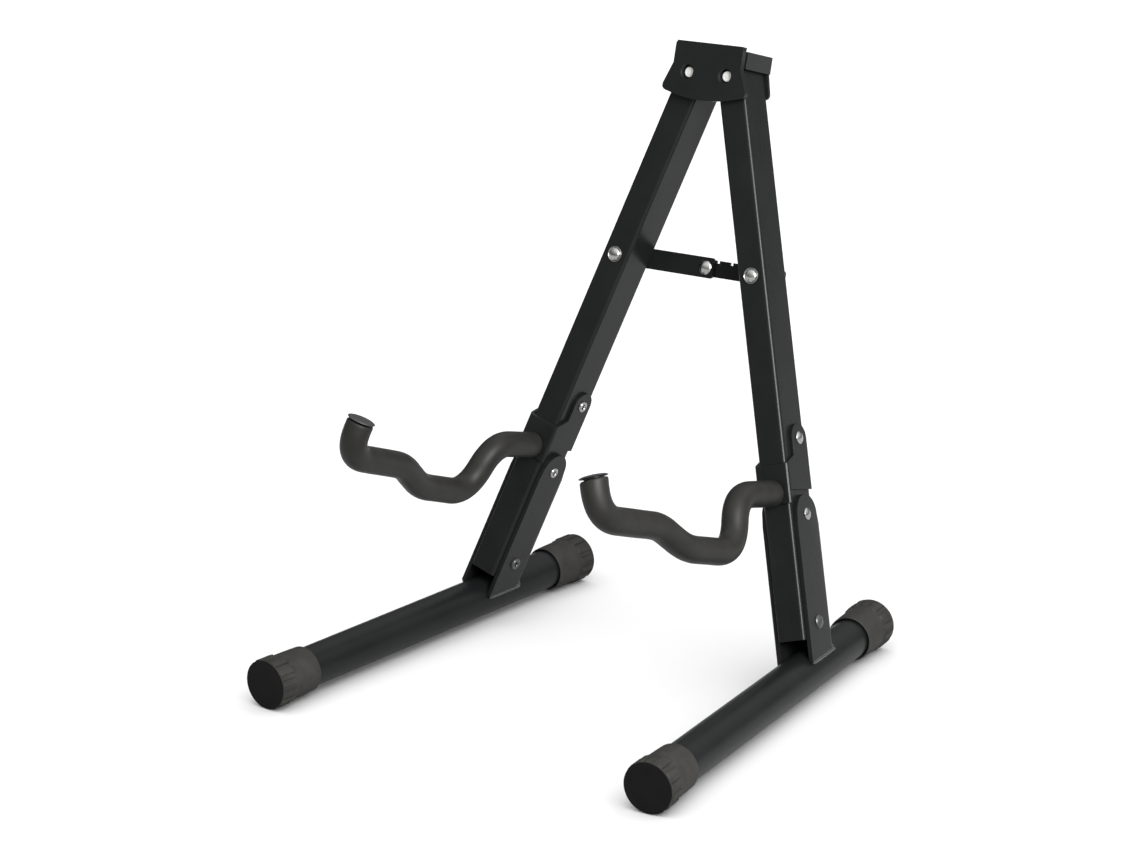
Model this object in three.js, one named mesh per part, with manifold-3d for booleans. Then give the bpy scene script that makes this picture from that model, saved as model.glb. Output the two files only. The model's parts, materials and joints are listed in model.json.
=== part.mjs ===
// Folding A-frame guitar stand, in millimetres, +Z up.
// It faces -Y: the guitar rests on two padded arms that reach towards -Y, and leans back on the legs.
// The origin is on the floor, under the middle of the stand's outline.
import * as THREE from 'three';
import { mergeVertices } from 'three/addons/utils/BufferGeometryUtils.js';
import Module from 'manifold-3d';

// ---- stance --------------------------------------------------------------------------------------
const LEAN = THREE.MathUtils.degToRad(15);          // the plane of the two legs leans back
const SPLAY = THREE.MathUtils.degToRad(17);         // each leg stands out from the middle, in that plane
const FIT = 0.3;                                    // gap between pieces that touch

// ---- legs: rectangular steel tube ------------------------------------------------------------------
// A leg's own frame starts at its head pivot: X sideways, Y back from the front face, Z up the leg.
const LEG = { width: 21, depth: 31, wall: 1.4, corner: 2.6, above: 11, below: 388 };
const LEG_MIDDLE = LEG.depth / 2;

// ---- head: a front plate and a rear plate that hold both leg pivots ---------------------------------
const PIVOT_X = 15.2;                               // head pivot, from the middle of the stand
const SHEET = 2;                                    // sheet steel of the plates, yoke brackets and links
const HEAD = { halfTop: 27, waist: 5.5, face: -7, lip: 6.2, rim: 4.5, flange: 1.6 };
const FRONT_PLATE = { top: 21, halfBottom: 33.2, corner: -12.5, bottom: -18.7 };
const REAR_PLATE = { top: 18.3, halfBottom: 30, corner: -9.8, bottom: -16 };
const DIMPLE = { mouth: 5.2, floor: 4.4, cup: 7.2 };

// ---- brace: two equal links behind the legs --------------------------------------------------------
const BRACE_DROP = 138;                             // from a head pivot down the leg to its brace rivet
const BRACE = { leftHeight: 14.5, rightHeight: 12, leftEnd: 6.6, rightEnd: 6, legEnd: 7, corner: 2 };
const NICK = { from: 8.5, to: 19.5, width: 2.6, depth: 2 };  // relief cuts beside the stop tab

// ---- yoke bracket and arm, on a cross pivot near the back of the leg ---------------------------------
const YOKE = { pivotY: 19.5, pivotDrop: 250.7, tab: 10, shoulder: 262.5, web: 268.3, ears: 286, end: 295 };
const ARM = { drop: 287.5, tube: 5, tubeWall: 1.3, foamBore: 5.7, foam: 9.2, plug: 10, plugThick: 4 };
const ARM_TOE_IN = THREE.MathUtils.degToRad(1);
// the two arms aren't welded quite level with each other
const ARM_LIFT = { left: THREE.MathUtils.degToRad(0.6), right: THREE.MathUtils.degToRad(-0.9) };
// each bend of the arm's centre line, from where the arm meets its leg: Y, rise and radius
const ARM_BENDS = [
  [-51.9, 0, 24], [-63.2, -38.2, 25.4], [-122, -33.4, 58], [-152, -17.7, 46], [-221.5, -11.1, 23],
];
const ARM_TIP = [-220.5, 13.4];

// ---- lower bracket and foot ------------------------------------------------------------------------
const SHOE = { sheet: 3, pivotY: 17, rivetDrop: 303, top: 13.6, front: 2.5, webTop: 314, pinDrop: 376.5 };
const FOOT = { drop: 409.1, front: 226, back: 109, tube: 14, wall: 1.5, seat: 9 };
const CAP = { radius: 17.5, groove: 16.7, root: 16.4, mouth: 15.9, ring: 15, length: 38.5, end: 4, lugs: 14 };

// ---- rivets ----------------------------------------------------------------------------------------
const SHANK = 3;
const HOLE = SHANK + FIT;

// ---- materials -------------------------------------------------------------------------------------
const finish = (color, roughness, metalness) => (
  new THREE.MeshStandardMaterial({ color, roughness, metalness }));
const blackSteel = finish(0x2b2d2c, 0.42, 0.25);
const bareSteel = finish(0xb9bbbd, 0.3, 0.9);
const darkSteel = finish(0x303234, 0.35, 0.5);
const foamRubber = finish(0x4b4b4c, 0.95, 0);
const capRubber = finish(0x45433f, 0.75, 0);
const plugPlastic = finish(0x333336, 0.5, 0);

// ---- solids: three.js geometry to a manifold solid and back ------------------------------------------
const wasm = await Module();
wasm.setup();

function solidOf(geometry) {
  const bare = geometry.index ? geometry.toNonIndexed() : geometry.clone();
  bare.deleteAttribute('normal');
  bare.deleteAttribute('uv');
  const merged = mergeVertices(bare, 1e-4);
  const corners = [];
  for (let i = 0; i < merged.index.count; i += 3) {
    const [a, b, c] = [0, 1, 2].map((k) => merged.index.getX(i + k));
    if (a !== b && b !== c && c !== a) corners.push(a, b, c);
  }
  const vertProperties = Float32Array.from(merged.attributes.position.array);
  const triVerts = Uint32Array.from(corners);
  return new wasm.Manifold(new wasm.Mesh({ numProp: 3, vertProperties, triVerts }));
}

function geometryOf(solid) {
  const mesh = solid.getMesh();
  const geometry = new THREE.BufferGeometry();
  geometry.setAttribute('position', new THREE.BufferAttribute(Float32Array.from(mesh.vertProperties), 3));
  geometry.setIndex(new THREE.BufferAttribute(Uint32Array.from(mesh.triVerts), 1));
  geometry.computeVertexNormals();
  return geometry;
}

const cutAll = (geometry, cutters) => geometryOf(
  cutters.reduce((solid, cutter) => solid.subtract(solidOf(cutter)), solidOf(geometry)));

// ---- shapes ----------------------------------------------------------------------------------------
// A shape drawn as (sideways, up), made into a plate that fills Y from back - thick to back.
const facingPlate = (shape, back, thick, curveSegments = 6) =>
  new THREE.ExtrudeGeometry(shape, { depth: thick, bevelEnabled: false, curveSegments })
    .rotateX(Math.PI / 2).translate(0, back, 0);

// A shape drawn as (Y, up), made into a block that fills X from -half to half.
const sideBlock = (shape, half, curveSegments = 8) =>
  new THREE.ExtrudeGeometry(shape, { depth: 2 * half, bevelEnabled: false, curveSegments })
    .rotateX(Math.PI / 2).rotateZ(Math.PI / 2).translate(-half, 0, 0);

// A shape drawn as (X, Y), made into a bar that fills Z from low to high.
const uprightBar = (shape, low, high) =>
  new THREE.ExtrudeGeometry(shape, { depth: high - low, bevelEnabled: false, curveSegments: 3 })
    .translate(0, 0, low);

const rodAlongY = (radius, from, to, sides = 14) =>
  new THREE.CylinderGeometry(radius, radius, to - from, sides).translate(0, (from + to) / 2, 0);

const rodAlongX = (radius, half, sides = 14) =>
  new THREE.CylinderGeometry(radius, radius, 2 * half, sides).rotateZ(Math.PI / 2);

function roundedRectangle(left, bottom, right, top, radius) {
  const shape = new THREE.Shape();
  shape.moveTo(left + radius, bottom);
  shape.lineTo(right - radius, bottom);
  shape.absarc(right - radius, bottom + radius, radius, -Math.PI / 2, 0);
  shape.lineTo(right, top - radius);
  shape.absarc(right - radius, top - radius, radius, 0, Math.PI / 2);
  shape.lineTo(left + radius, top);
  shape.absarc(left + radius, top - radius, radius, Math.PI / 2, Math.PI);
  shape.lineTo(left, bottom + radius);
  shape.absarc(left + radius, bottom + radius, radius, Math.PI, 1.5 * Math.PI);
  return shape;
}

// Profile of a domed rivet head, (radius, distance out from its seat), from its rim to the axis.
function domePoints(radius, height, rings = 3) {
  const sphere = (radius * radius + height * height) / (2 * height);
  const reach = Math.asin(radius / sphere);
  return Array.from({ length: rings + 1 }, (_, i) => {
    const angle = reach * (1 - i / rings);
    return [sphere * Math.sin(angle), height - sphere + sphere * Math.cos(angle)];
  });
}

// A rivet along Y. Its head sits at y = front and faces -Y, its tail sits at y = back.
function rivet(front, back, head, tail, sides = 14) {
  const points = [
    ...domePoints(head.radius, head.height).map(([r, out]) => [r, front - out]).reverse(),
    [SHANK, front], [SHANK, back],
    ...domePoints(tail.radius, tail.height).map(([r, out]) => [r, back + out]),
  ];
  points[0][0] = 0;
  points[points.length - 1][0] = 0;
  return new THREE.LatheGeometry(points.map(([r, y]) => new THREE.Vector2(r, y)), sides);
}

const acrossX = (geometry) => geometry.rotateZ(-Math.PI / 2);

function named(name, geometry, material) {
  const mesh = new THREE.Mesh(geometry, material);
  mesh.name = name;
  return mesh;
}

// ---- head ------------------------------------------------------------------------------------------
// Outline of a head plate: straight sides, a waist, skirts that follow the legs, and a curved bottom.
function headOutline({ top, halfBottom, corner, bottom }) {
  const { halfTop, waist } = HEAD;
  const round = 3;
  const shape = new THREE.Shape();
  shape.moveTo(-halfTop + round, top);
  shape.quadraticCurveTo(-halfTop, top, -halfTop, top - round);
  shape.lineTo(-halfTop, waist);
  shape.lineTo(-halfBottom, corner + round);
  shape.quadraticCurveTo(-halfBottom - 1, corner - 1, -halfBottom + round + 1, corner - 2);
  shape.quadraticCurveTo(0, 2 * bottom - corner + 2, halfBottom - round - 1, corner - 2);
  shape.quadraticCurveTo(halfBottom + 1, corner - 1, halfBottom, corner + round);
  shape.lineTo(halfTop, waist);
  shape.lineTo(halfTop, top - round);
  shape.quadraticCurveTo(halfTop, top, halfTop - round, top);
  return shape;
}

// Pressed front plate: it stands off the legs, with a dimple down to each pivot, its sides turned back
// a little and its top edge folded back.
function headFrontPlate() {
  const { face, halfTop, waist, lip, rim } = HEAD;
  const { halfBottom, corner } = FRONT_PLATE;
  const lipHeight = FRONT_PLATE.top - SHEET / 2;
  const spread = (halfBottom - halfTop) / (waist - corner);
  const [high, low] = [30, -40];
  const inside = [[halfTop - SHEET, high], [halfTop - SHEET, waist],
    [halfTop - SHEET + spread * (waist - low), low]];
  const hollow = new THREE.Shape([...inside, ...inside.map(([x, z]) => [-x, z]).reverse()]
    .map(([x, z]) => new THREE.Vector2(x, z)));
  const sides = solidOf(facingPlate(headOutline(FRONT_PLATE), face + rim, rim))
    .subtract(solidOf(facingPlate(hollow, face + rim + 1, rim + 2)));
  const pivots = [-PIVOT_X, PIVOT_X];
  let plate = solidOf(facingPlate(headOutline(FRONT_PLATE), face + SHEET, SHEET))
    .add(solidOf(new THREE.BoxGeometry(2 * halfTop - 2, lip, SHEET).translate(0, face + lip / 2, lipHeight)));
  plate = plate.add(sides);
  for (const x of pivots) {
    plate = plate.add(solidOf(rodAlongY(DIMPLE.cup, face + 0.5, -FIT, 24).translate(x, 0, 0)));
  }
  const depth = -FIT - SHEET - face;
  for (const x of pivots) {
    const pocket = new THREE.CylinderGeometry(DIMPLE.floor, DIMPLE.mouth, depth + 1, 24)
      .translate(x, face - 1 + (depth + 1) / 2, 0);
    plate = plate.subtract(solidOf(pocket)).subtract(solidOf(rodAlongY(HOLE, face, 1).translate(x, 0, 0)));
  }
  return geometryOf(plate);
}

// Rear plate: flat against the backs of the legs, with a flange folded forward on each side.
function headRearPlate() {
  const { halfTop, waist, flange } = HEAD;
  const { top } = REAR_PLATE;
  const front = LEG.depth + FIT;
  const back = front + SHEET;
  const inner = PIVOT_X + LEG.width / 2 + FIT;
  let plate = solidOf(facingPlate(headOutline(REAR_PLATE), back, SHEET));
  for (const side of [-1, 1]) {
    const height = top - waist - 1;
    const wing = new THREE.BoxGeometry(flange, back + 1, height)
      .translate(side * (inner + flange / 2), (back - 1) / 2, top - height / 2);
    const bridge = new THREE.BoxGeometry(inner + flange - halfTop + 4, SHEET, height)
      .translate(side * (inner + flange + halfTop - 4) / 2, front + SHEET / 2, top - height / 2);
    plate = plate.add(solidOf(wing)).add(solidOf(bridge));
    plate = plate.subtract(solidOf(rodAlongY(HOLE, front - 1, back + 1).translate(side * PIVOT_X, 0, 0)));
  }
  return geometryOf(plate);
}

// ---- leg -------------------------------------------------------------------------------------------
function legTube() {
  const { width, depth, wall, corner, above, below } = LEG;
  const shape = roundedRectangle(-width / 2, 0, width / 2, depth, corner);
  shape.holes.push(roundedRectangle(-width / 2 + wall, wall, width / 2 - wall, depth - wall, corner - wall));
  const crossHoles = [
    [YOKE.pivotY, YOKE.pivotDrop], [SHOE.pivotY, SHOE.rivetDrop], [SHOE.pivotY, SHOE.pinDrop],
  ];
  return cutAll(uprightBar(shape, -below, above), [
    rodAlongY(HOLE, -1, depth + 1),
    rodAlongY(HOLE, -1, depth + 1).translate(0, 0, -BRACE_DROP),
    ...crossHoles.map(([y, drop]) => rodAlongX(HOLE, width).translate(0, y, -drop)),
  ]);
}

// ---- brace -----------------------------------------------------------------------------------------
const BRACE_LENGTH = PIVOT_X + BRACE_DROP * Math.sin(SPLAY);
const LEFT_LINK_FRONT = LEG.depth + FIT;
const RIGHT_LINK_FRONT = LEFT_LINK_FRONT + SHEET + FIT;

// A link in its own frame: its leg rivet at the origin, its middle rivet at side * BRACE_LENGTH.
function braceLink(side, height, middleEnd, front, cutters) {
  const from = -side * BRACE.legEnd;
  const to = side * (BRACE_LENGTH + middleEnd);
  const [left, right] = [Math.min(from, to), Math.max(from, to)];
  const shape = roundedRectangle(left, -height / 2, right, height / 2, BRACE.corner);
  const hole = (x) => rodAlongY(HOLE, front - 1, front + SHEET + 1).translate(x, 0, 0);
  return cutAll(facingPlate(shape, front + SHEET, SHEET), [hole(0), hole(side * BRACE_LENGTH), ...cutters]);
}

function stopTabNicks() {
  const { from, to, width, depth } = NICK;
  return [from, to].map((x) => new THREE.BoxGeometry(width, 2 * SHEET, 2 * depth)
    .translate(x - BRACE_LENGTH, RIGHT_LINK_FRONT + SHEET / 2, BRACE.rightHeight / 2));
}

// ---- yoke bracket and arm --------------------------------------------------------------------------
// Section of a bracket that wraps three sides of a leg. closedAt is the Y of its web, openAt its ears' ends.
function wrapSection(sheet, closedAt, openAt) {
  const inside = LEG.width / 2 + FIT;
  const outside = inside + sheet;
  const turn = Math.sign(openAt - closedAt);
  const bend = sheet + 0.8;
  const shape = new THREE.Shape();
  shape.moveTo(-outside, openAt);
  shape.lineTo(-outside, closedAt + turn * bend);
  shape.quadraticCurveTo(-outside, closedAt, -outside + bend, closedAt);
  shape.lineTo(outside - bend, closedAt);
  shape.quadraticCurveTo(outside, closedAt, outside, closedAt + turn * bend);
  shape.lineTo(outside, openAt);
  shape.lineTo(inside, openAt);
  shape.lineTo(inside, closedAt + turn * sheet);
  shape.lineTo(-inside, closedAt + turn * sheet);
  shape.lineTo(-inside, openAt);
  return shape;
}

// Two round tabs over the cross pivot, a shoulder down to the web in front, and the web below it.
function yokeBracket() {
  const { pivotY, pivotDrop, tab, shoulder, web, ears, end } = YOKE;
  const front = -FIT - SHEET;
  const back = pivotY + tab;
  const side = new THREE.Shape();
  side.moveTo(front, -web);
  side.lineTo(pivotY - tab, -shoulder);
  side.lineTo(pivotY - tab, -pivotDrop);
  side.absarc(pivotY, -pivotDrop, tab, Math.PI, 0, true);
  side.lineTo(back, -ears);
  side.lineTo(0, -ears);
  side.lineTo(0, -end);
  side.lineTo(front, -end);
  const wrapped = solidOf(uprightBar(wrapSection(SHEET, front, back), -end - 1, -pivotDrop + tab + 1))
    .intersect(solidOf(sideBlock(side, LEG.width)));
  return geometryOf(wrapped
    .subtract(solidOf(rodAlongX(HOLE, LEG.width).translate(0, pivotY, -pivotDrop)))
    .subtract(solidOf(rodAlongY(ARM.tube + FIT, front - 1, 1).translate(0, 0, -ARM.drop))));
}

// The arm's centre line from start to tip: straight runs joined by round bends.
function armRoute(startY) {
  const corners = [[startY, 0], ...ARM_BENDS, ARM_TIP].map(([y, rise]) => new THREE.Vector3(0, y, rise));
  const route = new THREE.CurvePath();
  let from = corners[0];
  for (let i = 1; i < corners.length - 1; i += 1) {
    const before = from.clone().sub(corners[i]).normalize();
    const after = corners[i + 1].clone().sub(corners[i]).normalize();
    const trim = ARM_BENDS[i - 1][2] / Math.tan(before.angleTo(after) / 2);
    const enter = corners[i].clone().addScaledVector(before, trim);
    const leave = corners[i].clone().addScaledVector(after, trim);
    route.add(new THREE.LineCurve3(from, enter));
    route.add(new THREE.QuadraticBezierCurve3(enter, corners[i], leave));
    from = leave;
  }
  route.add(new THREE.LineCurve3(from, corners.at(-1)));
  return route;
}

function ringShape(outer, inner) {
  const shape = new THREE.Shape();
  shape.absarc(0, 0, outer, 0, 2 * Math.PI);
  const bore = new THREE.Path();
  bore.absarc(0, 0, inner, 0, 2 * Math.PI);
  shape.holes.push(bore);
  return shape;
}

const armSweep = (outer, inner, startY, sides) => new THREE.ExtrudeGeometry(ringShape(outer, inner), {
  steps: 44, curveSegments: sides / 2, extrudePath: armRoute(startY), bevelEnabled: false,
});

// Mushroom plug: a domed disc over the end of the foam, on a stem inside the arm's tube.
function endPlug() {
  const { plug, plugThick, tube, tubeWall } = ARM;
  const stem = tube - tubeWall - FIT;
  const points = [
    [0, -5], [stem - 1, -5], [stem, -2], [stem, FIT], [plug - 1, FIT], [plug, FIT + 1],
    [plug, plugThick - 1.6], [plug - 1.6, plugThick - 0.5], [plug - 4.5, plugThick], [0, plugThick + 0.2],
  ];
  return new THREE.LatheGeometry(points.map(([r, y]) => new THREE.Vector2(r, y)), 24);
}

// Bent tube welded through the bracket's web, its foam sleeve and its end plug, toed in a little.
function armAssembly(side, label) {
  const arm = new THREE.Group();
  arm.position.z = -ARM.drop;
  arm.rotation.set(-ARM_LIFT[label], 0, -side * ARM_TOE_IN);
  const plug = named(`${label}_arm_end_plug`, endPlug(), plugPlastic);
  const lastBend = ARM_BENDS.at(-1);
  plug.position.set(0, ...ARM_TIP);
  plug.rotation.x = Math.atan2(ARM_TIP[1] - lastBend[1], ARM_TIP[0] - lastBend[0]);
  arm.add(
    named(`${label}_arm_tube`, armSweep(ARM.tube, ARM.tube - ARM.tubeWall, -2 * FIT, 10), blackSteel),
    named(`${label}_arm_foam`, armSweep(ARM.foam, ARM.foamBore, -SHEET - 3 * FIT, 12), foamRubber),
    plug,
  );
  return arm;
}

// ---- lower bracket and foot ------------------------------------------------------------------------
// The foot lies in the leg's middle plane, turned so that it is level when the stand is open.
const FOOT_TILT = Math.atan(Math.tan(LEAN) / Math.cos(SPLAY));
const CAP_ROLL = Math.asin(Math.sin(SPLAY) * Math.cos(LEAN));

const footPlaced = (geometry) => geometry.rotateX(FOOT_TILT).translate(0, LEG_MIDDLE, -FOOT.drop);

// Two ears with round tops around the leg and a web behind it, standing on the foot's tube.
function lowerBracket() {
  const { sheet, pivotY, rivetDrop, top, front, webTop } = SHOE;
  const back = LEG.depth + FIT + sheet;
  const seat = FOOT.seat / Math.cos(FOOT_TILT);
  const seatDrop = (y) => FOOT.drop - seat - (y - LEG_MIDDLE) * Math.tan(FOOT_TILT);
  const side = new THREE.Shape();
  side.moveTo(pivotY - top, -rivetDrop);
  side.absarc(pivotY, -rivetDrop, top, Math.PI, 0, true);
  side.lineTo(back, -webTop);
  side.lineTo(back, -seatDrop(back));
  side.lineTo(front, -seatDrop(front));
  side.lineTo(front, -rivetDrop - 6);
  const wrapped = solidOf(uprightBar(wrapSection(sheet, back, -1), -FOOT.drop - 20, -rivetDrop + top + 1))
    .intersect(solidOf(sideBlock(side, LEG.width)));
  return geometryOf(wrapped
    .subtract(solidOf(footPlaced(rodAlongY(FOOT.tube + FIT, -FOOT.front, FOOT.back, 48))))
    .subtract(solidOf(rodAlongX(HOLE, LEG.width).translate(0, pivotY, -rivetDrop)))
    .subtract(solidOf(rodAlongX(HOLE, LEG.width).translate(0, pivotY, -SHOE.pinDrop))));
}

// Tube of the foot, along Y, short of the caps' closed ends.
function footTube() {
  const shape = ringShape(FOOT.tube, FOOT.tube - FOOT.wall);
  const length = FOOT.front + FOOT.back - 2 * (CAP.end + FIT);
  return new THREE.ExtrudeGeometry(shape, { depth: length, bevelEnabled: false, curveSegments: 16 })
    .rotateX(Math.PI / 2).translate(0, FOOT.back - CAP.end - FIT, 0);
}

// Rubber cap, its closed end at y = 0 facing -Y: a ring of raised lugs, then a sleeve that tapers
// to its mouth. One lug's flat outer face looks straight down.
function footCap() {
  const { radius, groove, root, mouth, ring, length, end, lugs } = CAP;
  const half = Math.PI / (2 * lugs);
  const outline = new THREE.Shape();
  for (let i = 0; i < lugs; i += 1) {
    const middle = -Math.PI / 2 + (i * 2 * Math.PI) / lugs;
    const corners = [[radius, -half], [radius, half], [groove, half], [groove, 3 * half]];
    corners.forEach(([r, turn], k) => {
      const reach = r / Math.cos(half);
      const [x, y] = [reach * Math.cos(middle + turn), reach * Math.sin(middle + turn)];
      if (i === 0 && k === 0) outline.moveTo(x, y);
      else outline.lineTo(x, y);
    });
  }
  const lugRing = new THREE.ExtrudeGeometry(outline, { depth: ring - 1, bevelEnabled: false })
    .rotateX(Math.PI / 2).translate(0, ring, 0);
  const bore = FOOT.tube + FIT;
  const profile = [[0, 0], [radius - 1.2, 0], [groove - 0.2, 1], [root, ring], [mouth, length],
    [bore, length], [bore, end], [0, end]];
  const sleeve = new THREE.LatheGeometry(profile.map(([r, y]) => new THREE.Vector2(r, y)), 2 * lugs);
  const boreCutter = solidOf(rodAlongY(bore, end, ring + 1, 2 * lugs));
  return geometryOf(solidOf(lugRing).subtract(boreCutter).add(solidOf(sleeve)));
}

// ---- assembly --------------------------------------------------------------------------------------
function footAssembly(side, label) {
  const foot = new THREE.Group();
  foot.position.set(0, LEG_MIDDLE, -FOOT.drop);
  foot.rotation.x = FOOT_TILT;
  const frontCap = named(`${label}_foot_cap_front`, footCap(), capRubber);
  frontCap.position.y = -FOOT.front;
  frontCap.rotation.y = side * CAP_ROLL;
  const rearCap = named(`${label}_foot_cap_rear`, footCap().rotateZ(Math.PI), capRubber);
  rearCap.position.y = FOOT.back;
  rearCap.rotation.y = side * CAP_ROLL;
  foot.add(named(`${label}_foot_tube`, footTube(), blackSteel), frontCap, rearCap);
  return foot;
}

function legAssembly(side, label) {
  const leg = new THREE.Group();
  leg.position.x = side * PIVOT_X;
  leg.rotation.y = -side * SPLAY;
  const crossRivet = (name, sheet, y, drop, head, material) => {
    const seat = LEG.width / 2 + FIT + sheet + FIT;
    const pin = named(`${label}_${name}`, acrossX(rivet(-seat, seat, head, head)), material);
    pin.position.set(0, y, -drop);
    return pin;
  };
  leg.add(
    named(`${label}_leg`, legTube(), blackSteel),
    named(`${label}_yoke_bracket`, yokeBracket(), blackSteel),
    armAssembly(side, label),
    named(`${label}_lower_bracket`, lowerBracket(), blackSteel),
    crossRivet('yoke_rivet', SHEET, YOKE.pivotY, YOKE.pivotDrop, { radius: 4.4, height: 2 }, bareSteel),
    crossRivet('lower_rivet', SHOE.sheet, SHOE.pivotY, SHOE.rivetDrop, { radius: 4.2, height: 1.8 },
      bareSteel),
    crossRivet('foot_rivet', SHOE.sheet, SHOE.pivotY, SHOE.pinDrop, { radius: 4.8, height: 2.4 }, darkSteel),
    footAssembly(side, label),
  );
  return leg;
}

function headAssembly() {
  const head = new THREE.Group();
  head.add(named('head_front_plate', headFrontPlate(), blackSteel));
  head.add(named('head_rear_plate', headRearPlate(), blackSteel));
  for (const [side, label] of [[-1, 'left'], [1, 'right']]) {
    const front = -FIT - SHEET - FIT;
    const back = LEG.depth + FIT + SHEET + FIT;
    const flat = { radius: 3.6, height: 1 };
    const pin = named(`${label}_head_rivet`, rivet(front, back, flat, { radius: 5, height: 1.6 }), bareSteel);
    pin.position.x = side * PIVOT_X;
    head.add(pin);
  }
  return head;
}

// The two links, their leg rivets through the legs, and the middle pivot in two halves, so that
// each link can leave the other while the stand folds.
function braceAssembly() {
  const brace = new THREE.Group();
  brace.position.z = -BRACE_DROP * Math.cos(SPLAY);
  const leftBack = LEFT_LINK_FRONT + SHEET;
  const rightBack = RIGHT_LINK_FRONT + SHEET;
  const dome = { radius: 5.7, height: 3 };
  const tail = { radius: 4.6, height: 1.6 };
  const spacerRing = ringShape(6, HOLE);
  const pieces = {
    brace_link_left: [-1, braceLink(1, BRACE.leftHeight, BRACE.leftEnd, LEFT_LINK_FRONT, []), blackSteel],
    brace_link_right: [
      1, braceLink(-1, BRACE.rightHeight, BRACE.rightEnd, RIGHT_LINK_FRONT, stopTabNicks()), blackSteel,
    ],
    brace_rivet_left: [-1, rivet(-FIT, leftBack + FIT, dome, tail), bareSteel],
    brace_rivet_right: [1, rivet(-FIT, rightBack + FIT, dome, tail), bareSteel],
    brace_spacer_right: [1, facingPlate(spacerRing, leftBack, SHEET, 10), bareSteel],
    brace_middle_rivet: [0, halfPivot(LEFT_LINK_FRONT, 1, { radius: 5, height: 2.2 }), bareSteel],
    brace_middle_rivet_tail: [0, halfPivot(rightBack, -1, tail), bareSteel],
  };
  for (const [name, [side, geometry, material]] of Object.entries(pieces)) {
    const piece = named(name, geometry, material);
    piece.position.x = side * BRACE_LENGTH;
    brace.add(piece);
  }
  return brace;
}

// Half of the middle pivot: a head on the face of its own link and a short shank inside that link.
function halfPivot(face, inward, head) {
  const seat = face - inward * FIT;
  const points = [
    [0, seat + inward * (SHEET + FIT - 0.2)], [SHANK, seat + inward * (SHEET + FIT - 0.2)], [SHANK, seat],
    ...domePoints(head.radius, head.height).map(([r, out]) => [r, seat - inward * out]),
  ];
  points[points.length - 1][0] = 0;
  if (inward > 0) points.reverse();
  return new THREE.LatheGeometry(points.map(([r, y]) => new THREE.Vector2(r, y)), 20);
}

const stand = new THREE.Group();
stand.rotation.x = -LEAN;
stand.add(headAssembly(), braceAssembly(), legAssembly(-1, 'left'), legAssembly(1, 'right'));

// stand it on the floor, over the origin
const group = new THREE.Group();
group.add(stand);
group.updateMatrixWorld(true);
const outline = new THREE.Box3().setFromObject(group, true);
stand.position.set(0, -(outline.min.y + outline.max.y) / 2, -outline.min.z);

export default group;
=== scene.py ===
"""Looks of the folding guitar stand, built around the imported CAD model. Lengths are in metres.

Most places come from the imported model: from a joint's pivot and axis, or from how far a CAD node
reaches along the axes of the piece it belongs to. The arms are the exception: their drop, toe-in, lift,
route and foam radius repeat the CAD source's values. Except for the drop and the route's start, those
were fitted to the outlines of the two arms by a program, and then rounded.
"""

import json
import math

import bmesh
import bpy
import numpy as np
from mathutils import Matrix, Vector, noise

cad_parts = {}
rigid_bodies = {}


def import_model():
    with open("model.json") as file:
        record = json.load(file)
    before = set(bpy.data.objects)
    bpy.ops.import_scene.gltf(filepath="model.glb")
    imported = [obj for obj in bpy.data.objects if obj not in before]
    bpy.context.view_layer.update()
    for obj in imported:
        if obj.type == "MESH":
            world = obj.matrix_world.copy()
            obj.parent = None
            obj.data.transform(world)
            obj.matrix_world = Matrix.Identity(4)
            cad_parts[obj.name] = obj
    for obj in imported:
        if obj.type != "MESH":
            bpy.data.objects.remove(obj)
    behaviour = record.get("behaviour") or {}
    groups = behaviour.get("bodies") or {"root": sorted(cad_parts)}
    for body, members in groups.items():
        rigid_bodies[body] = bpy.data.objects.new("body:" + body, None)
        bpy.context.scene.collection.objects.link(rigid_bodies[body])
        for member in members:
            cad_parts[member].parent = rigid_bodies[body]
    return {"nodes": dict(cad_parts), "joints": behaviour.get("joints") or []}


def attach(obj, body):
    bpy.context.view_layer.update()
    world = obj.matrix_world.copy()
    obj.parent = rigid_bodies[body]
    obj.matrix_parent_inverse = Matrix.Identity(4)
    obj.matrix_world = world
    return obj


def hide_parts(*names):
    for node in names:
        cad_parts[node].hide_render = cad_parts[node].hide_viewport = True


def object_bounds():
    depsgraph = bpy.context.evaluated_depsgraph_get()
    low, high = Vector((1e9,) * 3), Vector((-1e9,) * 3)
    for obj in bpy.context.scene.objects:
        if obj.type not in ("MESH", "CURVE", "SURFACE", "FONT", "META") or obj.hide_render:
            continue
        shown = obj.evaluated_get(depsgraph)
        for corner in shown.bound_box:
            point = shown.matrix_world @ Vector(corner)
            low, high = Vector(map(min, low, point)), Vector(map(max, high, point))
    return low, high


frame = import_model()
cad_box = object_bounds()

MM = 0.001
SIDES = {"left": -1, "right": 1}
UP = Vector((0, 0, 1))

# ---- camera and stage ----------------------------------------------------------------------------
CAMERA_AZIMUTH = math.radians(34.22)
CAMERA_ELEVATION = math.radians(16.93)
CAMERA_DISTANCE = 2.043
CAMERA_TARGET = Vector((-0.0113, -0.0175, 0.1829))
CAMERA_LENS = 96.23
SENSOR_WIDTH = 36.0
SKY = (0.2, 1.75, 0.7)  # brightness of the studio at the horizon and overhead, and its tilt to the right

# ---- sizes of the details ------------------------------------------------------------------------
LEG_WALL = 1.4 * MM
LEG_CORNER = 2.6 * MM
ARM_DROP = 287.5 * MM
ARM_TOE_IN = math.radians(1)
ARM_LIFT = {"left": math.radians(0.6), "right": math.radians(-0.9)}
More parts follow.
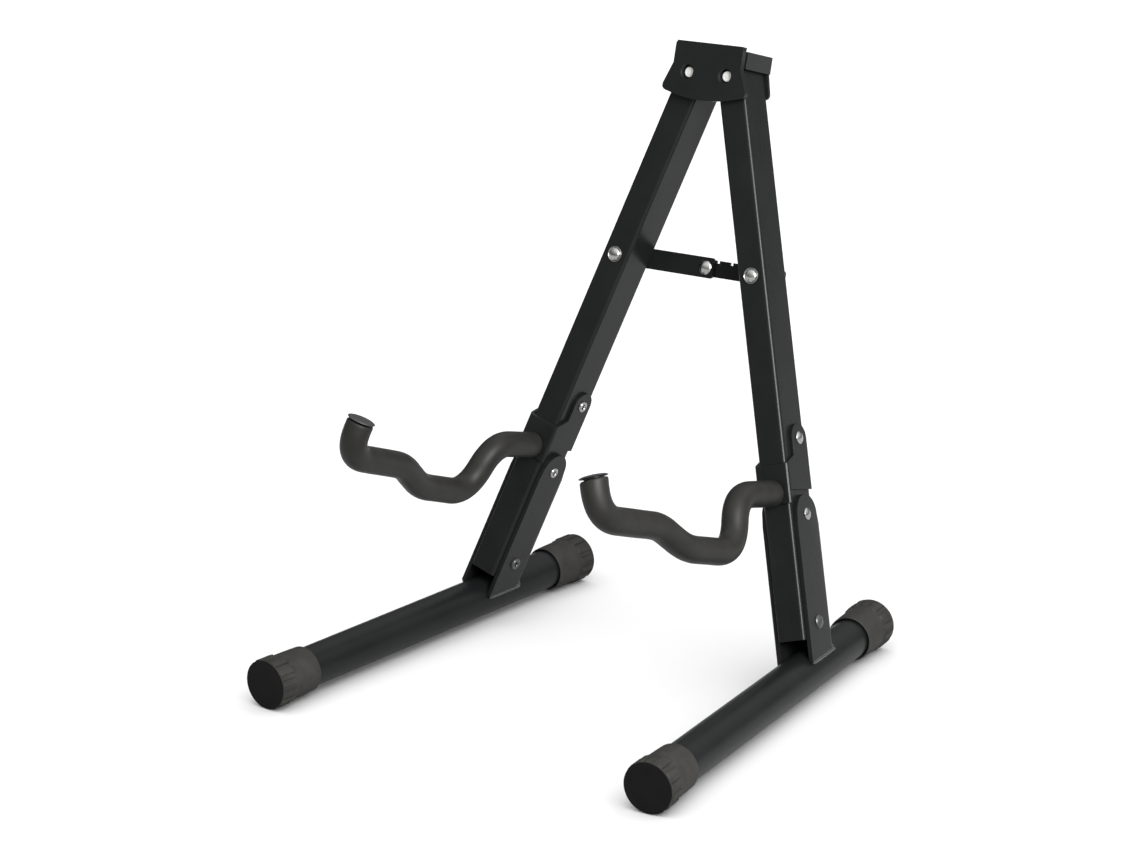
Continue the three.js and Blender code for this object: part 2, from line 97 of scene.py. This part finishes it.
# the arm's centre line from where it meets its leg: distance back and rise of each corner, and the
# radius of the bend there, in millimetres
ARM_ROUTE = [(-2.9, 0, 0), (-51.9, 0, 24), (-63.2, -38.2, 25.4), (-122, -33.4, 58), (-152, -17.7, 46),
             (-221.5, -11.1, 23), (-220.5, 13.4, 0)]
FOAM_RADIUS = 9.2 * MM
END_SLANT = {"left": 0.02, "right": 0.15}  # how steeply each sleeve's end face rises along SLANT_TOWARDS
SLANT_TOWARDS = Vector((0.83, 0.56, 0))  # sideways and back, in the arm's frame
SLANTED_STEPS = 5  # how many steps of the route the slant is spread over
CAP_LUGS = 14


# ---- frames --------------------------------------------------------------------------------------
def placed(origin, x, y):
    """The matrix of a local frame with the given origin, X and Y."""
    x, y = x.normalized(), y.normalized()
    matrix = Matrix((x, y, x.cross(y))).transposed().to_4x4()
    matrix.translation = origin
    return matrix


def points_of(node, matrix):
    """A CAD node's vertices in a local frame, as an array of rows."""
    mesh = frame["nodes"][node].data
    co = np.empty(len(mesh.vertices) * 3)
    mesh.vertices.foreach_get("co", co)
    inverse = np.array(matrix.inverted())
    return co.reshape(-1, 3) @ inverse[:3, :3].T + inverse[:3, 3]


def reach(node, matrix):
    """(lowest, highest) of a CAD node along the axes of a local frame."""
    points = points_of(node, matrix)
    return Vector(points.min(axis=0)), Vector(points.max(axis=0))


def middle(node, matrix):
    low, high = reach(node, matrix)
    return (low + high) / 2


JOINTS = {joint["name"]: joint for joint in frame["joints"]}
BACK = -Vector(JOINTS["left_leg_fold"]["axis"])  # square to the plane of the two legs


def leg_frame(label):
    """X sideways, Y back from the leg's front face and Z up the leg, from its head pivot."""
    pivot = Vector(JOINTS[f"{label}_leg_fold"]["pos_m"])
    return placed(pivot, -Vector(JOINTS[f"{label}_arm_fold"]["axis"]), BACK)


def foot_frame(label):
    """X sideways, square to the foot, and Y back along its tube, from the tube's middle."""
    x = LEG[label].to_3x3().col[0].copy()
    level = placed(Vector(), x, UP.cross(x))
    return level @ Matrix.Translation(middle(f"{label}_foot_tube", level))


HEAD = placed(Vector(JOINTS["right_leg_fold"]["pos_m"]) * Vector((0, 1, 1)), Vector((1, 0, 0)), BACK)
LEG = {label: leg_frame(label) for label in SIDES}
FOOT = {label: foot_frame(label) for label in SIDES}


# ---- materials -----------------------------------------------------------------------------------
def procedural(name, low, high, rough, bump, grain, metallic=0.0, specular=0.5, blotch=60.0, stretch=1.0,
               sheen=0.0):
    """A material whose colour and roughness drift over `blotch`-sized patches, with a fine raised grain.

    low and high are the two colours, rough the two roughnesses, bump the height of the grain in metres,
    and grain its density per metre. stretch draws the grain out along the object's height.
    """
    material = bpy.data.materials.new(name)
    material.use_nodes = True
    nodes, links = material.node_tree.nodes, material.node_tree.links
    shader = nodes["Principled BSDF"]
    shader.inputs["Metallic"].default_value = metallic
    shader.inputs["Specular IOR Level"].default_value = specular
    if sheen:
        shader.inputs["Sheen Weight"].default_value = sheen
        shader.inputs["Sheen Roughness"].default_value = 0.5

    place = nodes.new("ShaderNodeTexCoord")
    scale = nodes.new("ShaderNodeMapping")
    scale.inputs["Scale"].default_value = (1, 1, 1 / stretch)
    links.new(place.outputs["Object"], scale.inputs["Vector"])

    patches = nodes.new("ShaderNodeTexNoise")
    patches.inputs["Scale"].default_value = blotch
    patches.inputs["Detail"].default_value = 5
    links.new(place.outputs["Object"], patches.inputs["Vector"])

    colours = nodes.new("ShaderNodeValToRGB")
    colours.color_ramp.elements[0].position = 0.3
    colours.color_ramp.elements[0].color = (*low, 1)
    colours.color_ramp.elements[1].position = 0.7
    colours.color_ramp.elements[1].color = (*high, 1)
    links.new(patches.outputs["Fac"], colours.inputs["Fac"])
    links.new(colours.outputs["Color"], shader.inputs["Base Color"])

    gloss = nodes.new("ShaderNodeMapRange")
    gloss.inputs["To Min"].default_value = rough[0]
    gloss.inputs["To Max"].default_value = rough[1]
    links.new(patches.outputs["Fac"], gloss.inputs["Value"])
    links.new(gloss.outputs["Result"], shader.inputs["Roughness"])

    texture = nodes.new("ShaderNodeTexNoise")
    texture.inputs["Scale"].default_value = grain
    texture.inputs["Detail"].default_value = 3
    links.new(scale.outputs["Vector"], texture.inputs["Vector"])
    relief = nodes.new("ShaderNodeBump")
    relief.inputs["Strength"].default_value = 1
    relief.inputs["Distance"].default_value = bump
    links.new(texture.outputs["Fac"], relief.inputs["Height"])
    links.new(relief.outputs["Normal"], shader.inputs["Normal"])
    return material


POWDER_COAT = procedural("powder_coat", (0.0044, 0.0049, 0.0047), (0.0058, 0.0064, 0.0061), (0.25, 0.31),
                         0.005 * MM, 1100, specular=0.12, blotch=35)
TUBE_COAT = procedural("tube_coat", (0.0032, 0.0035, 0.0036), (0.0044, 0.0048, 0.0049), (0.34, 0.42),
                       0.012 * MM, 1100, specular=0.13, blotch=35)
WELD = procedural("weld", (0.012, 0.013, 0.0125), (0.016, 0.017, 0.0165), (0.16, 0.26), 0.05 * MM, 900,
                  specular=0.6)
BRIGHT = procedural("bright_rivet", (0.27, 0.27, 0.265), (0.36, 0.36, 0.35), (0.16, 0.28), 0.004 * MM, 2500,
                    metallic=1.0, blotch=300)
ZINC = procedural("matt_zinc", (0.5, 0.5, 0.48), (0.62, 0.61, 0.59), (0.42, 0.55), 0.004 * MM, 2500,
                  metallic=0.35, blotch=300)
DARK = procedural("dark_rivet", (0.012, 0.0125, 0.013), (0.018, 0.0185, 0.019), (0.25, 0.35), 0.008 * MM,
                  1500, specular=0.6)
FOAM = procedural("foam_rubber", (0.0066, 0.0064, 0.006), (0.0098, 0.0095, 0.0088), (0.44, 0.54), 0.05 * MM,
                  1700, specular=0.15, blotch=90)
PLUG = procedural("plug_plastic", (0.008, 0.008, 0.0085), (0.011, 0.011, 0.0115), (0.42, 0.52), 0.015 * MM,
                  2200, blotch=150)
RUBBER = procedural("cap_rubber", (0.0115, 0.0112, 0.0103), (0.018, 0.0172, 0.0158), (0.58, 0.74), 0.03 * MM,
                    1300, specular=0.14, blotch=120)
# painted shade: the cap's end face gets a darker, less shiny copy of the cap rubber, for the shade that falls
# on it
SHADED_CAP_FACE = procedural("cap_face_painted_shade", (0.0025, 0.0025, 0.0025), (0.0036, 0.0036, 0.0035), (0.5, 0.6),
                         0.02 * MM, 1300, specular=0.06, blotch=120)


# ---- meshes --------------------------------------------------------------------------------------
def piece(name, mesh_data, material, body, slot, *replaced, bevel=0.0, extra=()):
    """Makes an object of a bmesh, rounds its sharp edges, and gives it its body and CAD nodes."""
    mesh = bpy.data.meshes.new(name)
    bmesh.ops.recalc_face_normals(mesh_data, faces=mesh_data.faces)
    mesh_data.to_mesh(mesh)
    mesh_data.free()
    obj = bpy.data.objects.new(name, mesh)
    bpy.context.scene.collection.objects.link(obj)
    for m in (material, *extra):
        mesh.materials.append(m)
    if bevel:
        mesh.shade_smooth()
        rounded = obj.modifiers.new("bevel", "BEVEL")
        rounded.width = bevel
        rounded.segments = 3
        rounded.limit_method = "ANGLE"
        rounded.angle_limit = math.radians(32)
        rounded.use_clamp_overlap = True
        rounded.harden_normals = False
        obj.modifiers.new("weighted", "WEIGHTED_NORMAL").keep_sharp = True
        graph = bpy.context.evaluated_depsgraph_get()
        final = bpy.data.meshes.new_from_object(obj.evaluated_get(graph))
        obj.modifiers.clear()
        obj.data = final
        bpy.data.meshes.remove(mesh)
        final.name = name
    if not bevel:
        obj.data.shade_smooth()
        obj.data.set_sharp_from_angle(angle=math.radians(40))
    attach(obj, body)
    if replaced:
        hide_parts(*replaced)
    return obj


def loft(rings, matrix, capped=True, looped=False, tags=None):
    """A surface through rings of equal count. It is capped at both ends, or looped back to its start.

    tags gives the material number of the band that starts at each ring.
    """
    data = bmesh.new()
    rows = [[data.verts.new(matrix @ Vector(p)) for p in ring] for ring in rings]
    bands = list(zip(rows, rows[1:])) + ([(rows[-1], rows[0])] if looped else [])
    for k, (a, b) in enumerate(bands):
        for i in range(len(a)):
            j = (i + 1) % len(a)
            face = data.faces.new((a[i], a[j], b[j], b[i]))
            if tags:
                face.material_index = tags[k]
    if capped and not looped:
        for k, row in ((0, rows[0]), (-1, rows[-1])):
            centre = data.verts.new(sum((v.co for v in row), Vector()) / len(row))
            for i in range(len(row)):
                face = data.faces.new((centre, row[i], row[(i + 1) % len(row)]))
                if tags:
                    face.material_index = tags[k]
    return data


def revolved(profile, matrix, sides=48, looped=False):
    """A profile of (radius, distance along local Y), turned about local Y."""
    turns = [2 * math.pi * i / sides for i in range(sides)]
    rings = [[(r * math.cos(t), y, r * math.sin(t)) for t in turns] for r, y in profile]
    return loft(rings, matrix, looped=looped)


def refined(node, tolerance=0.5):
    """A CAD node's mesh with its flat areas made whole, ready to have its edges rounded."""
    data = bmesh.new()
    data.from_mesh(frame["nodes"][node].data)
    bmesh.ops.remove_doubles(data, verts=data.verts, dist=0.002 * MM)
    bmesh.ops.dissolve_limit(data, angle_limit=math.radians(tolerance), verts=data.verts, edges=data.edges)
    return data


def rounded_rectangle(low, high, corner, steps=7):
    """Points of a rectangle with round corners, in X and Y."""
    centres = [(high.x - corner, high.y - corner, 0), (low.x + corner, high.y - corner, 90),
               (low.x + corner, low.y + corner, 180), (high.x - corner, low.y + corner, 270)]
    points = []
    for x, y, start in centres:
        for i in range(steps):
            turn = math.radians(start + 90 * i / (steps - 1))
            points.append((x + corner * math.cos(turn), y + corner * math.sin(turn)))
    return points


# ---- legs ----------------------------------------------------------------------------------------
def leg_tube(label):
    node = f"{label}_leg"
    low, high = reach(node, LEG[label])
    wall = Vector((LEG_WALL, LEG_WALL, 0))
    outer = rounded_rectangle(low, high, LEG_CORNER)
    inner = rounded_rectangle(low + wall, high - wall, LEG_CORNER - LEG_WALL)
    rings = [[(x, y, z) for x, y in outline]
             for outline, z in ((outer, low.z), (outer, high.z), (inner, high.z), (inner, low.z))]
    piece(f"{node}_tube", loft(rings, LEG[label], looped=True), POWDER_COAT, f"{label}_leg", "black_steel",
          node, bevel=0.35 * MM)


# ---- rivets --------------------------------------------------------------------------------------
def dome(radius, height, brim=0.45 * MM, rings=9):
    """(radius, height over its seat) from a rivet head's rim to its top, over a short upright brim."""
    cap = height - brim
    sphere = (radius * radius + cap * cap) / (2 * cap)
    spread = math.asin(radius / sphere)
    edge = [(radius - 0.12 * MM, 0), (radius, 0.12 * MM), (radius, brim - 0.08 * MM)]
    base = height - sphere
    turns = [spread * (1 - i / rings) for i in range(rings)]
    arc = [(sphere * math.sin(turn), base + sphere * math.cos(turn)) for turn in turns]
    return edge + [(min(r, radius - 0.1 * MM), z) for r, z in arc]


def ringed(radius, height, lip=1.05 * MM, rings=8):
    """A rivet head with a raised rim, a groove inside it and a domed middle."""
    rim = [(radius - 0.12 * MM, 0), (radius, 0.15 * MM), (radius, lip - 0.25 * MM),
           (radius - 0.2 * MM, lip), (radius - 0.55 * MM, lip), (radius - 0.85 * MM, lip - 0.35 * MM)]
    inner, foot = radius - 1.15 * MM, lip - 0.4 * MM
    crown = [(inner * math.cos(t), foot + (height - foot) * math.sin(t))
             for t in (math.pi / 2 * i / rings for i in range(rings))]
    return rim + crown


def clinched(radius, height, bore=1.7 * MM):
    """The rolled end of a hollow rivet: a rounded lip around a bore."""
    steps = 8
    crest = (radius + bore) / 2
    half = (radius - bore) / 2
    lip = [(crest + half * math.cos(math.pi * i / steps), height * math.sin(math.pi * i / steps) ** 0.8)
           for i in range(steps + 1)]
    return lip + [(bore * 0.92, -1.2 * MM), (bore * 0.5, -1.9 * MM)]


def flat_head(radius, height):
    """A flat head with a rounded rim and a faint ring pressed into it."""
    return [(radius - 0.1 * MM, 0), (radius, 0.15 * MM), (radius, height - 0.35 * MM),
            (radius - 0.12 * MM, height - 0.1 * MM), (radius - 0.4 * MM, height),
            (radius * 0.62, height), (radius * 0.55, height - 0.06 * MM), (radius * 0.48, height)]


def rivet(name, node, matrix, body, slot, material, seats, head, tail):
    """A rivet about local Y. head stands on the lower seat and faces -Y, tail on the higher one."""
    shank = 3 * MM
    profile = [(r, seats[0] - out) for r, out in reversed(head)]
    profile += [(shank, seats[0]), (shank, seats[1])]
    profile += [(r, seats[1] + out) for r, out in tail]
    piece(name, revolved(profile, matrix), material, body, slot, node)


def cross_rivet(label, kind, bracket, head_size, slot, material):
    """A rivet across a leg: its head is on the outer side of the stand, its hollow end on the inner."""
    node = f"{label}_{kind}"
    side = SIDES[label]
    centre = middle(node, LEG[label])
    seat = reach(bracket, LEG[label])[1].x
    outward = Matrix.Rotation(math.radians(90 * side), 4, "Z")
    matrix = LEG[label] @ Matrix.Translation(Vector((0, centre.y, centre.z))) @ outward
    radius, height = head_size
    rivet(f"{node}_shaped", node, matrix, LEG_BODY[label], slot, material, (-seat, seat),
          dome(radius, height), clinched(radius * 0.93, height * 0.72))


LEG_BODY = {label: f"{label}_leg" for label in SIDES}


# ---- brackets, plates and links ------------------------------------------------------------------
def sheet_metal(node, body, bevel=0.45 * MM):
    piece(f"{node}_pressed", refined(node), POWDER_COAT, body, "black_steel", node, bevel=bevel)


# ---- arms ----------------------------------------------------------------------------------------
def arm_centre_line(spacing=1.5 * MM):
    """Evenly spaced points along the arm's bent centre line, in the arm's own frame."""
    corners = [Vector((0, y * MM, z * MM)) for y, z, _ in ARM_ROUTE]
    dense = [corners[0]]
    for before, corner, after, bend in zip(corners, corners[1:], corners[2:], ARM_ROUTE[1:]):
        a, b = (before - corner).normalized(), (after - corner).normalized()
        trim = bend[2] * MM / math.tan(a.angle(b) / 2)
        for i in range(25):
            t = i / 24
            dense.append(corner + a * trim * (1 - t) ** 2 + b * trim * t * t)
    dense.append(corners[-1])
    lengths = np.cumsum([0] + [(q - p).length for p, q in zip(dense, dense[1:])])
    count = round(lengths[-1] / spacing)
    at = np.linspace(0, lengths[-1], count + 1)
    coords = np.array(dense)
    return [Vector([np.interp(s, lengths, coords[:, k]) for k in range(3)]) for s in at]


def arm_matrix(label):
    weld = LEG[label] @ Matrix.Translation((0, 0, -ARM_DROP)) @ Matrix.Rotation(-ARM_LIFT[label], 4, "X")
    return weld @ Matrix.Rotation(-SIDES[label] * ARM_TOE_IN, 4, "Z")


def foam_sleeve(label, sides=40):
    """The sleeve: a rounded tube of foam along the arm, closed over the steel tube at both ends."""
    line = arm_centre_line()
    last = len(line) - 1
    tangents = [(line[min(i + 1, last)] - line[max(i - 1, 0)]).normalized() for i in range(last + 1)]
    sideways = Vector((1, 0, 0))
    bore = 5.3 * MM
    stations = [(0, 0, bore), (0, 0, bore + 0.6 * MM), (0, 0, FOAM_RADIUS - 1.2 * MM),
                (0, 0.25 * MM, FOAM_RADIUS - 0.5 * MM), (0, 0.8 * MM, FOAM_RADIUS - 0.12 * MM)]
    slant = END_SLANT[label]
    stations += [(i, 0, FOAM_RADIUS) for i in range(1, last)]
    stations += [(last, -shift, radius) for _, shift, radius in reversed(stations[:5])]
    rings = []
    for i, shift, radius in stations:
        t = tangents[i]
        up = t.cross(sideways)
        centre = line[i] + t * shift
        ring = []
        for k in range(sides):
            turn = 2 * math.pi * k / sides
            out = sideways * math.cos(turn) + up * math.sin(turn)
            seed = (centre + out * FOAM_RADIUS) * 45 + Vector((SIDES[label] * 7.0, 0, 0))
            swell = 0.12 * MM * noise.noise(seed) + 0.05 * MM * noise.noise(seed * 4)
            point = centre + out * (radius + (swell - 0.05 * MM if radius > bore + MM else 0))
            past = i - last + SLANTED_STEPS
            if past > 0:
                point += t * slant * out.dot(SLANT_TOWARDS) * radius * past / SLANTED_STEPS
            ring.append(point)
        rings.append(ring)
    sleeve = piece(f"{label}_arm_sleeve", loft(rings, arm_matrix(label)), FOAM, f"{label}_arm", "arm_foam",
                   f"{label}_arm_foam")


def end_plug(label):
    """A thin domed disc on a short neck, pushed into the end of the arm and leaning with the sleeve's end."""
    start, end = (Vector((0, y * MM, z * MM)) for y, z, _ in ARM_ROUTE[-2:])
    along = (end - start).normalized()
    about = Vector((SLANT_TOWARDS.y, 0, SLANT_TOWARDS.x))
    lean = Matrix.Rotation(math.atan(END_SLANT[label]) * 0.8, 4, about)
    seat = arm_matrix(label) @ placed(end, Vector((1, 0, 0)), along) @ lean
    disc, neck = 9.6 * MM, 6.6 * MM
    crown = [(disc * math.cos(a), 1.55 * MM + 1.5 * MM * math.sin(a))
             for a in (math.radians(10 + 8.5 * i) for i in range(9))]
    profile = [(2.4 * MM, -5 * MM), (3.4 * MM, -2 * MM), (3.4 * MM, 0.3 * MM), (neck - 0.4 * MM, 0.3 * MM),
               (neck, 0.6 * MM), (neck, 0.75 * MM), (neck + 0.4 * MM, 1.0 * MM), (disc - 0.5 * MM, 1.2 * MM),
               (disc - 0.12 * MM, 1.32 * MM), (disc, 1.55 * MM)] + crown
    piece(f"{label}_arm_plug", revolved(profile, seat), PLUG, f"{label}_arm", "end_plug",
          f"{label}_arm_end_plug")


# ---- feet ----------------------------------------------------------------------------------------
def foot_tube(label):
    node = f"{label}_foot_tube"
    low, high = reach(node, FOOT[label])
    outer, wall = high.x, 1.5 * MM
    profile = [(outer - wall, low.y), (outer, low.y), (outer, high.y), (outer - wall, high.y)]
    piece(f"{node}_drawn", revolved(profile, FOOT[label], sides=72, looped=True), TUBE_COAT,
          LEG_BODY[label], "black_steel", node, bevel=0.3 * MM)


def cap_outline(lug, groove, depth):
    """Points around a cap: depth 0 is round at the groove's radius, depth 1 has the lugs at full height."""
    pitch = 2 * math.pi / CAP_LUGS
    shape = [(-0.5, 0), (-0.36, 0), (-0.28, 0), (-0.245, 1), (-0.16, 1), (0, 1), (0.16, 1), (0.245, 1),
             (0.28, 0), (0.36, 0)]
    ring = []
    for i in range(CAP_LUGS):
        for offset, raised in shape:
            flat = lug / math.cos(offset * pitch)
            radius = groove + (flat - groove) * raised * depth
            turn = -math.pi / 2 + (i + offset) * pitch
            ring.append((radius * math.cos(turn), radius * math.sin(turn)))
    return ring


def foot_cap(label, end):
    """The rubber cap: a shallow dished end in a darker copy of the rubber that paints shade on it, a ring of
    raised lugs, and a sleeve tapering to its mouth.
    """
    node = f"{label}_foot_cap_{end}"
    lug, groove = 17.5, 16.45
    rounds = [(0.01, 0.3, 0), (8, 0.3, 0), (14, 0.25, 0), (15.4, 0.1, 0), (16.3, 0, 0), (16.8, 0.08, 0),
              (17.05, 0.3, 0), (17.1, 0.9, 0), (16.95, 1.15, 0.1), (groove, 1.4, 0.85), (groove, 1.7, 1),
              (groove, 5, 1), (groove, 9, 1), (groove, 12.6, 1), (groove, 13.5, 0.97), (groove, 14.1, 0.7),
              (groove, 14.6, 0.2), (16.42, 15, 0), (16.4, 17, 0), (16.3, 24, 0), (16.15, 31, 0),
              (15.95, 37, 0), (15.88, 37.9, 0), (15.7, 38.35, 0), (15.3, 38.5, 0), (15.05, 38.3, 0),
              (14.85, 37, 0), (14.3, 35, 0), (14.2, 20, 0), (14.2, 4.4, 0), (0.01, 4.4, 0)]
    rings = []
    for radius, y, depth in rounds:
        outline = cap_outline(lug * MM, radius * MM, depth)
        rings.append([(x, y * MM, z) for x, z in outline])
    inner = reach(f"{label}_foot_tube", FOOT[label])
    ahead = end == "front"
    tube_end = inner[0].y if ahead else inner[1].y
    closed_end = FOOT[label] @ Vector((0, tube_end + (-1 if ahead else 1) * 4.3 * MM, 0))
    inward = FOOT[label].to_3x3().col[1] * (1 if ahead else -1)
    # the end face, out to its rounded rim, takes the darker copy of the rubber: painted shade
    tags = [1] * 6 + [0] * (len(rounds) - 6)
    piece(f"{node}_moulded", loft(rings, placed(closed_end, inward.cross(UP), inward), tags=tags), RUBBER,
          LEG_BODY[label], "foot_cap", node, extra=(SHADED_CAP_FACE,))


def weld_bead(label):
    """The weld that runs round the lower bracket's foot, where it stands on the tube."""
    side_points = points_of(f"{label}_lower_bracket", FOOT[label])
    outer = side_points[:, 0].max()
    radius = reach(f"{label}_foot_tube", FOOT[label])[1].x
    corners = side_points[(np.abs(side_points[:, 0]) > outer - 0.2 * MM) & (side_points[:, 2] < 9.4 * MM)]
    front, back = corners[:, 1].min(), side_points[side_points[:, 2] < 14.6 * MM][:, 1].max()
    x = outer - 0.9 * MM
    low = side_points[:, 2].min() - 1.1 * MM
    path = [Vector((x, front + (back - front) * t, low)) for t in np.linspace(0.02, 0.97, 24)]
    across = [Vector((u, back + 0.4 * MM, math.sqrt((radius + 0.3 * MM) ** 2 - u * u)))
              for u in np.linspace(x - 1 * MM, -x + 1 * MM, 22)]
    path += across + [Vector((-p.x, p.y, p.z)) for p in reversed(path)]
    count = len(path)
    rings = []
    for i, p in enumerate(path):
        t = (path[min(i + 1, count - 1)] - path[max(i - 1, 0)]).normalized()
        a = t.orthogonal().normalized()
        a = (UP - t * UP.dot(t)).normalized() if abs(t.dot(UP)) < 0.9 else a
        b = t.cross(a)
        ripple = 1 + 0.16 * math.sin(i * 2.1) + 0.2 * noise.noise(p * 900)
        ends = min(1.0, 0.5 + 0.25 * min(i, count - 1 - i))
        r = 1.5 * MM * ripple * ends
        rings.append([p + a * (r * math.cos(w)) + b * (r * math.sin(w))
                      for w in (2 * math.pi * k / 12 for k in range(12))])
    piece(f"{label}_weld_bead", loft(rings, FOOT[label]), WELD, LEG_BODY[label], "black_steel")


# ---- build ---------------------------------------------------------------------------------------
for label in SIDES:
    leg_tube(label)
    sheet_metal(f"{label}_yoke_bracket", f"{label}_arm")
    sheet_metal(f"{label}_lower_bracket", LEG_BODY[label])
    cross_rivet(label, "yoke_rivet", f"{label}_yoke_bracket", (4.4 * MM, 2 * MM), "bright_rivet", BRIGHT)
    cross_rivet(label, "lower_rivet", f"{label}_lower_bracket", (4.2 * MM, 1.8 * MM), "bright_rivet", BRIGHT)
    cross_rivet(label, "foot_rivet", f"{label}_lower_bracket", (4.8 * MM, 2.4 * MM), "dark_rivet", DARK)
    foam_sleeve(label)
    end_plug(label)
    foot_tube(label)
    weld_bead(label)
    for end in ("front", "rear"):
        foot_cap(label, end)
    frame["nodes"][f"{label}_arm_tube"].data.materials.clear()
    frame["nodes"][f"{label}_arm_tube"].data.materials.append(POWDER_COAT)

sheet_metal("head_front_plate", "head")
sheet_metal("head_rear_plate", "head")
sheet_metal("brace_link_left", "left_brace", bevel=0.3 * MM)
sheet_metal("brace_link_right", "right_brace", bevel=0.3 * MM)


def upright_rivet(node, body, seats, head, tail, material=BRIGHT):
    """A rivet square to the plane of the legs, through its CAD node's middle."""
    centre = middle(node, HEAD)
    matrix = HEAD @ Matrix.Translation(Vector((centre.x, 0, centre.z)))
    rivet(f"{node}_shaped", node, matrix, body, "bright_rivet", material, seats, head, tail)


left_link = reach("brace_link_left", HEAD)
right_link = reach("brace_link_right", HEAD)
head_back = reach("head_rear_plate", HEAD)[1].y
for label in SIDES:
    dimple_floor = reach(f"{label}_head_rivet", HEAD)[0].y + 1 * MM
    upright_rivet(f"{label}_head_rivet", "head", (dimple_floor, head_back), flat_head(3.6 * MM, 1 * MM),
                  dome(5 * MM, 1.6 * MM), ZINC)
upright_rivet("brace_rivet_left", "left_leg", (0, left_link[1].y), ringed(5.7 * MM, 2.8 * MM),
              dome(4.6 * MM, 1.6 * MM))
upright_rivet("brace_rivet_right", "right_leg", (0, right_link[1].y), ringed(5.7 * MM, 2.8 * MM),
              dome(4.6 * MM, 1.6 * MM))

# the middle rivet in two halves, one on each link
centre = Matrix.Translation(Vector((0, 0, middle("brace_middle_rivet", HEAD).z)))
front_half = [(r, left_link[0].y - out) for r, out in reversed(dome(5 * MM, 2.2 * MM))]
piece("brace_middle_rivet_shaped", revolved(front_half + [(3 * MM, left_link[0].y), (3 * MM, left_link[1].y)],
      HEAD @ centre), BRIGHT, "left_brace", "bright_rivet", "brace_middle_rivet")
back_half = [(r, right_link[1].y + out) for r, out in dome(4.6 * MM, 1.6 * MM)]
tail_shank = [(3 * MM, right_link[0].y), (3 * MM, right_link[1].y)]
piece("brace_middle_rivet_tail_shaped", revolved(tail_shank + back_half, HEAD @ centre), BRIGHT,
      "right_brace", "bright_rivet", "brace_middle_rivet_tail")

spacer_low, spacer_high = reach("brace_spacer_right", HEAD)
spot = Vector(((spacer_low.x + spacer_high.x) / 2, 0, (spacer_low.z + spacer_high.z) / 2))
ring = [(3.3 * MM, spacer_low.y), (6 * MM, spacer_low.y), (6 * MM, spacer_high.y), (3.3 * MM, spacer_high.y)]
piece("brace_spacer_ring", revolved(ring, HEAD @ Matrix.Translation(spot), looped=True), BRIGHT, "right_leg",
      "bright_rivet", "brace_spacer_right", bevel=0.25 * MM)


# ---- stage, light and camera ---------------------------------------------------------------------
# the lamp lights the stand only, so that the floor stays an even white
LIT = bpy.data.collections.new("lit")
for obj in bpy.context.scene.objects:
    if obj.type == "MESH":
        LIT.objects.link(obj)


def area_light(name, place, target, size, watts):
    data = bpy.data.lights.new(name, "AREA")
    data.shape = "RECTANGLE"
    data.size, data.size_y = size
    data.energy = watts
    lamp = bpy.data.objects.new(name, data)
    lamp.location = place
    lamp.rotation_euler = (Vector(target) - Vector(place)).to_track_quat("-Z", "Y").to_euler()
    bpy.context.scene.collection.objects.link(lamp)
    lamp.light_linking.receiver_collection = LIT


def floor():
    data = bmesh.new()
    half = 12
    data.faces.new([data.verts.new((x * half, y * half, 0)) for x, y in ((-1, -1), (1, -1), (1, 1), (-1, 1))])
    mesh = bpy.data.meshes.new("floor")
    data.to_mesh(mesh)
    data.free()
    material = bpy.data.materials.new("floor_white")
    material.use_nodes = True
    shader = material.node_tree.nodes["Principled BSDF"]
    shader.inputs["Base Color"].default_value = (0.88, 0.88, 0.88, 1)
    shader.inputs["Roughness"].default_value = 0.9
    shader.inputs["Specular IOR Level"].default_value = 0.1
    mesh.materials.append(material)
    ground = bpy.data.objects.new("floor", mesh)
    bpy.context.scene.collection.objects.link(ground)


floor()
world = bpy.data.worlds.new("studio")
world.use_nodes = True
sky, wire = world.node_tree.nodes, world.node_tree.links
heading = sky.new("ShaderNodeTexCoord")
split = sky.new("ShaderNodeSeparateXYZ")
climb = sky.new("ShaderNodeMapRange")
climb.interpolation_type = "SMOOTHSTEP"
climb.inputs["From Min"].default_value = 0.0
climb.inputs["From Max"].default_value = 0.9
climb.inputs["To Min"].default_value = SKY[0]
climb.inputs["To Max"].default_value = SKY[1]
across = sky.new("ShaderNodeVectorMath")
across.operation = "DOT_PRODUCT"
across.inputs[1].default_value = (0.88, -0.47, 0)
rightward = sky.new("ShaderNodeMath")
rightward.operation = "MULTIPLY_ADD"
rightward.inputs[1].default_value = SKY[2]
rightward.inputs[2].default_value = 1
shaded = sky.new("ShaderNodeMath")
shaded.operation = "MULTIPLY"
wire.new(heading.outputs["Generated"], split.inputs["Vector"])
wire.new(split.outputs["Z"], climb.inputs["Value"])
wire.new(heading.outputs["Generated"], across.inputs[0])
wire.new(across.outputs["Value"], rightward.inputs[0])
wire.new(climb.outputs["Result"], shaded.inputs[0])
wire.new(rightward.outputs["Value"], shaded.inputs[1])
wire.new(shaded.outputs["Value"], sky["Background"].inputs["Strength"])
sky["Background"].inputs["Color"].default_value = (1, 1, 1, 1)
bpy.context.scene.world = world
bpy.context.scene.view_settings.view_transform = "Standard"

middle_height = cad_box[1][2] / 2
area_light("softbox_right", (1.25, -0.67, 0.744 + middle_height), (0, 0, middle_height), (0.8, 0.8), 72)

camera_data = bpy.data.cameras.new("camera")
camera_data.lens = CAMERA_LENS
camera_data.sensor_width = SENSOR_WIDTH
camera = bpy.data.objects.new("camera", camera_data)
away = Vector((math.sin(CAMERA_AZIMUTH) * math.cos(CAMERA_ELEVATION),
               -math.cos(CAMERA_AZIMUTH) * math.cos(CAMERA_ELEVATION), math.sin(CAMERA_ELEVATION)))
camera.location = CAMERA_TARGET + away * CAMERA_DISTANCE
camera.rotation_euler = (-away).to_track_quat("-Z", "Y").to_euler()
bpy.context.scene.collection.objects.link(camera)
bpy.context.scene.camera = camera
